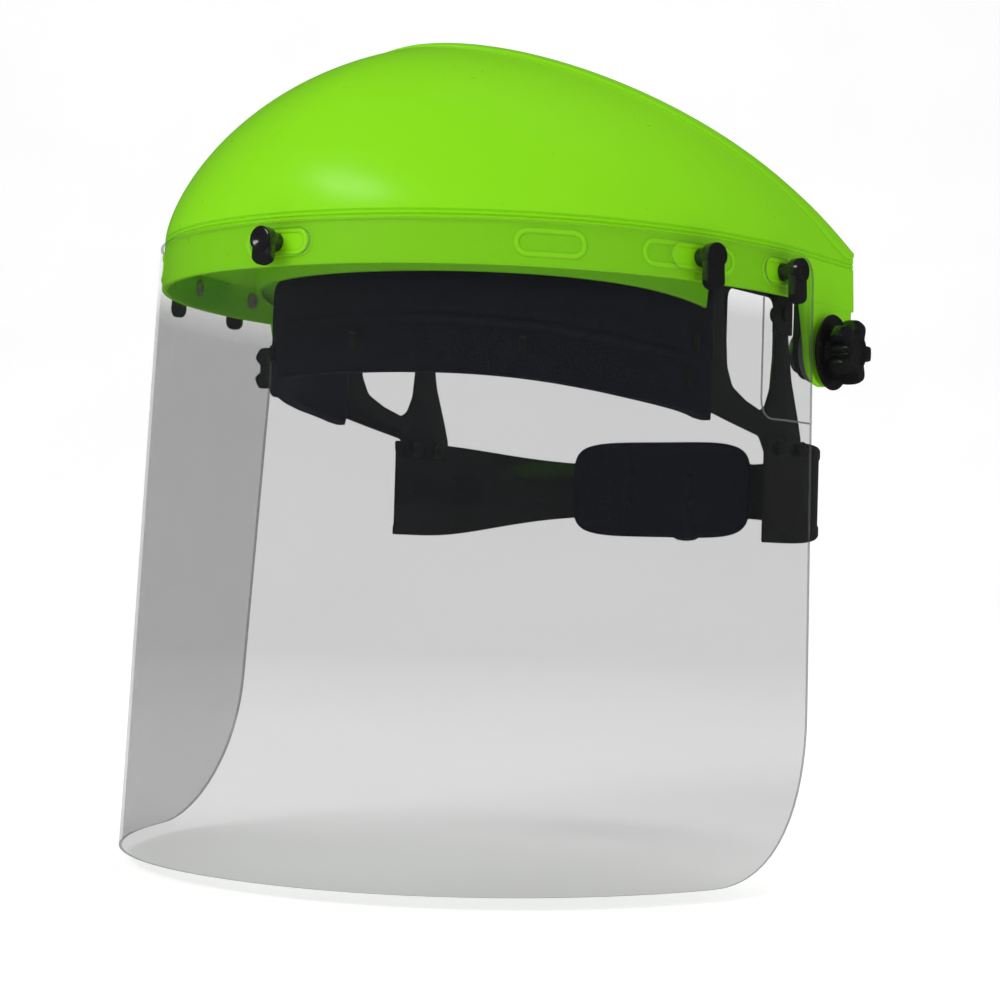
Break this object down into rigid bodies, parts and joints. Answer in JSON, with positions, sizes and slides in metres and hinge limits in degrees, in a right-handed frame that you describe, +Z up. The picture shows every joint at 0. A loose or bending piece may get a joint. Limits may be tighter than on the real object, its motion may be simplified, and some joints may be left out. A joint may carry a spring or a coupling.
{
  "type": "face shield",
  "caption": "Tilting browguard face shield: domed plastic crown, clear wraparound visor on twist latches, headband with sweatband, top straps, tension knobs and rear ratchet.",
  "frame": {"origin": "midway between the two tilt pivots, inside the head space where a head holds the shield", "axes": "+Z up towards the top of the head, -Y forward through the visor, +X to the wearer's left along the pivot axis"},
  "size_m": [0.256, 0.2792, 0.2736],
  "materials": {
    "lime_plastic": "bright lime green moulded thermoplastic, glossy with soft highlights",
    "clear_sheet": "clear polycarbonate sheet, very faint grey tint",
    "rivet_metal": "dark nickel plate",
    "black_gloss": "black moulded plastic, glossy",
    "black_satin": "black moulded plastic, fine satin texture",
    "navy_cloth": "dark navy brushed cotton terry",
    "bolt_steel": "zinc plate",
    "washer_grey": "grey nylon",
    "brass": "turned brass",
    "white_nylon": "natural nylon"
  },
  "bodies": {
    "headgear": {"headband": "black_gloss", "sweatband": "navy_cloth", "top_strap_left": "black_satin", "top_strap_right": "black_satin", "strap_pins": "black_satin", "pivot_bolt_left": "bolt_steel", "pivot_bolt_right": "bolt_steel", "friction_washer_left": "washer_grey", "friction_washer_right": "washer_grey", "rear_strap_left": "black_gloss", "rear_strap_right": "black_gloss", "rear_strap_rivets": "black_satin"},
    "crown": {"crown_shell": "lime_plastic", "visor": "clear_sheet", "latch_rivets": "rivet_metal"},
    "latch_left_rear": {"latch_left_rear": "black_gloss"},
    "latch_left_front": {"latch_left_front": "black_gloss"},
    "latch_centre": {"latch_centre": "black_gloss"},
    "latch_right_front": {"latch_right_front": "black_gloss"},
    "latch_right_rear": {"latch_right_rear": "black_gloss"},
    "cup_washer_left": {"cup_washer_left": "black_gloss"},
    "cup_washer_right": {"cup_washer_right": "black_gloss"},
    "tension_knob_left": {"tension_knob_left": "black_gloss", "knob_insert_left": "brass"},
    "tension_knob_right": {"tension_knob_right": "black_gloss", "knob_insert_right": "brass"},
    "rear_adjuster": {"ratchet_housing": "black_satin", "ratchet_cover": "black_satin", "nape_pad": "navy_cloth", "housing_screws": "bolt_steel", "detent_ring": "washer_grey"},
    "ratchet_dial": {"pinion": "white_nylon", "pawl_spring": "washer_grey", "ratchet_knob": "black_gloss", "dial_screw": "bolt_steel"}
  },
  "joints": [
    {"name": "crown_tilt", "type": "hinge", "parent": "headgear", "child": "crown", "pos_m": [0, 0, 0], "axis": [-1, 0, 0], "range_deg": [0, 90]},
    {"name": "latch_left_rear_turn", "type": "hinge", "parent": "crown", "child": "latch_left_rear", "pos_m": [0.11412, -0.0305, 0.0235], "axis": [0.9955, -0.0871, 0.036], "range_deg": [-90, 0]},
    {"name": "latch_left_front_turn", "type": "hinge", "parent": "crown", "child": "latch_left_front", "pos_m": [0.10583, -0.07, 0.0235], "axis": [0.9436, -0.329, 0.036], "range_deg": [-90, 0]},
    {"name": "latch_centre_turn", "type": "hinge", "parent": "crown", "child": "latch_centre", "pos_m": [0, -0.15034, 0.0235], "axis": [0, -0.9994, 0.036], "range_deg": [0, 90]},
    {"name": "latch_right_front_turn", "type": "hinge", "parent": "crown", "child": "latch_right_front", "pos_m": [-0.10583, -0.07, 0.0235], "axis": [-0.9436, -0.329, 0.036], "range_deg": [0, 90]},
    {"name": "latch_right_rear_turn", "type": "hinge", "parent": "crown", "child": "latch_right_rear", "pos_m": [-0.11412, -0.0305, 0.0235], "axis": [-0.9955, -0.0871, 0.036], "range_deg": [0, 90]},
    {"name": "left_washer_slide", "type": "slide", "parent": "headgear", "child": "cup_washer_left", "axis": [1, 0, 0], "range_m": [0, 0.0012]},
    {"name": "left_knob_turn", "type": "hinge", "parent": "cup_washer_left", "child": "tension_knob_left", "pos_m": [0.125, 0, 0], "axis": [1, 0, 0], "range_deg": [0, 360]},
    {"name": "right_washer_slide", "type": "slide", "parent": "headgear", "child": "cup_washer_right", "axis": [-1, 0, 0], "range_m": [0, 0.0012]},
    {"name": "right_knob_turn", "type": "hinge", "parent": "cup_washer_right", "child": "tension_knob_right", "pos_m": [-0.125, 0, 0], "axis": [-1, 0, 0], "range_deg": [0, 360]},
    {"name": "rear_adjust", "type": "slide", "parent": "headgear", "child": "rear_adjuster", "axis": [0, 1, 0], "range_m": [-0.0158, 0.0079], "deforming": ["rear_strap_left", "rear_strap_right"]},
    {"name": "ratchet_turn", "type": "hinge", "parent": "rear_adjuster", "child": "ratchet_dial", "pos_m": [0, 0.115, -0.043], "axis": [0, 1, 0], "range_deg": [-180, 90]}
  ],
  "couplings": [
    {"joint": "left_knob_turn", "follows": "left_washer_slide", "rad_per_m": 5235},
    {"joint": "right_knob_turn", "follows": "right_washer_slide", "rad_per_m": 5235},
    {"joint": "rear_adjust", "follows": "ratchet_turn", "m_per_rad": 0.005}
  ]
}
